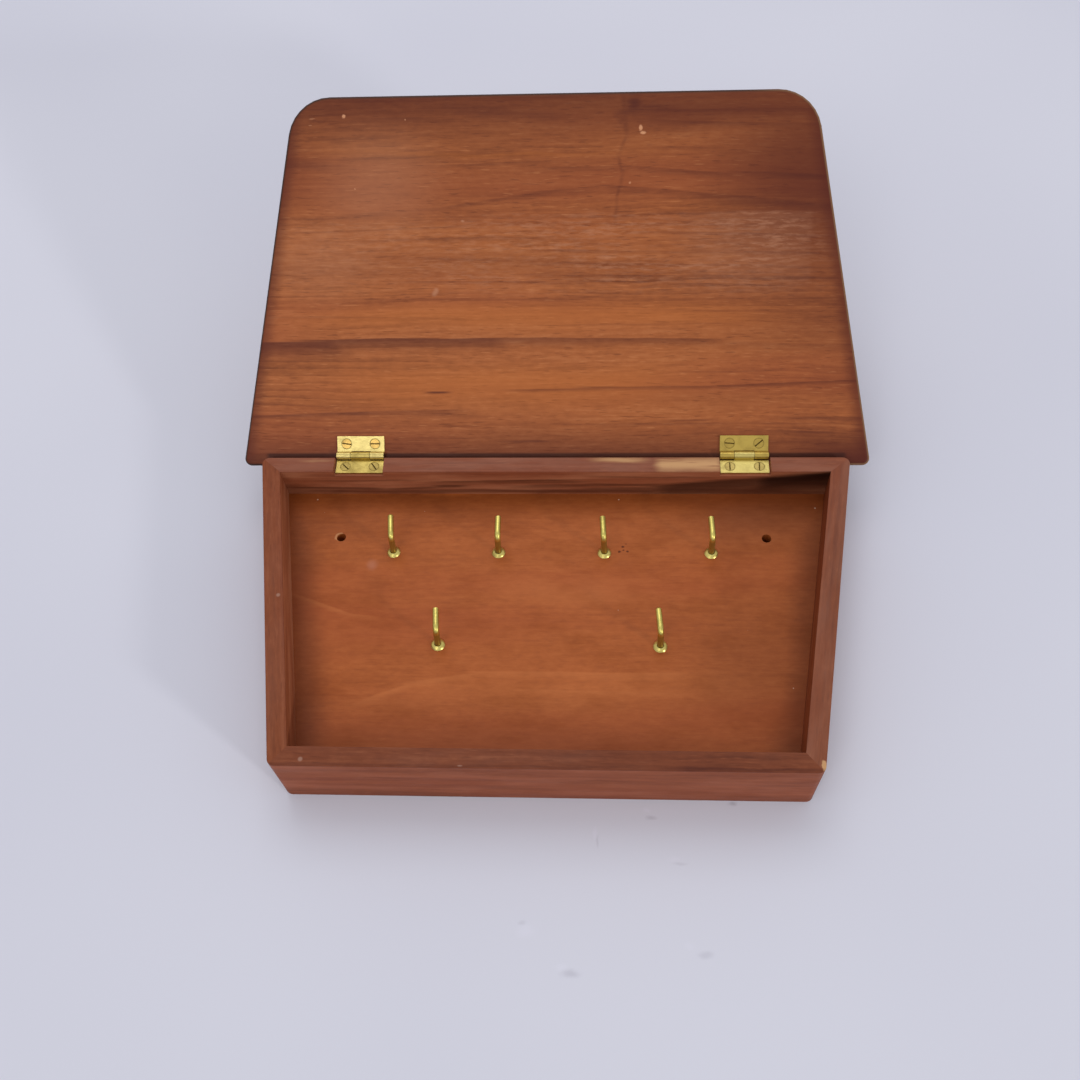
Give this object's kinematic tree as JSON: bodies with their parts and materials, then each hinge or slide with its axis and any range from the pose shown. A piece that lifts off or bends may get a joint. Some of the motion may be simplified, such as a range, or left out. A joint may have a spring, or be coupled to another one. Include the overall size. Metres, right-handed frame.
{
  "type": "wall key cabinet",
  "caption": "Shallow tapered wooden wall box with hooks for keys inside and a flat overhanging lid on butt hinges that leans back open.",
  "frame": {"origin": "midway between the two wall-screw holes, on the back face that meets the wall", "axes": "+X across the cabinet, to the right for someone facing it on the wall; +Y up the wall, towards the hinge rail; +Z out of the mouth, away from the wall. At rest the cabinet lies on its back with the lid open against its stop."},
  "size_m": [0.3216, 0.3131, 0.1468],
  "materials": {
    "mahogany": "thin worn varnish",
    "back_board": "smooth waxed",
    "brass": "satin, slightly tarnished",
    "steel": "plain drawn wire"
  },
  "bodies": {
    "cabinet": {"top_rail": "mahogany", "right_stile": "mahogany", "bottom_rail": "mahogany", "left_stile": "mahogany", "back_panel": "back_board", "left_hinge_box_leaf": "brass", "left_hinge_box_screws": "brass", "left_hinge_pin": "steel", "right_hinge_box_leaf": "brass", "right_hinge_box_screws": "brass", "right_hinge_pin": "steel", "upper_hook_1": "brass", "upper_hook_2": "brass", "upper_hook_3": "brass", "upper_hook_4": "brass", "lower_hook_1": "brass", "lower_hook_2": "brass", "upper_collar_1": "brass", "upper_collar_2": "brass", "upper_collar_3": "brass", "upper_collar_4": "brass", "lower_collar_1": "brass", "lower_collar_2": "brass", "panel_pins": "steel", "mitre_pins": "steel"},
    "lid": {"lid": "mahogany", "left_hinge_lid_leaf": "brass", "left_hinge_lid_screws": "brass", "right_hinge_lid_leaf": "brass", "right_hinge_lid_screws": "brass"}
  },
  "joints": [
    {"name": "lid_hinge", "type": "hinge", "parent": "cabinet", "child": "lid", "pos_m": [0, 0.0383, 0.03625], "axis": [1, 0, 0], "range_deg": [0, 140.8]}
  ]
}
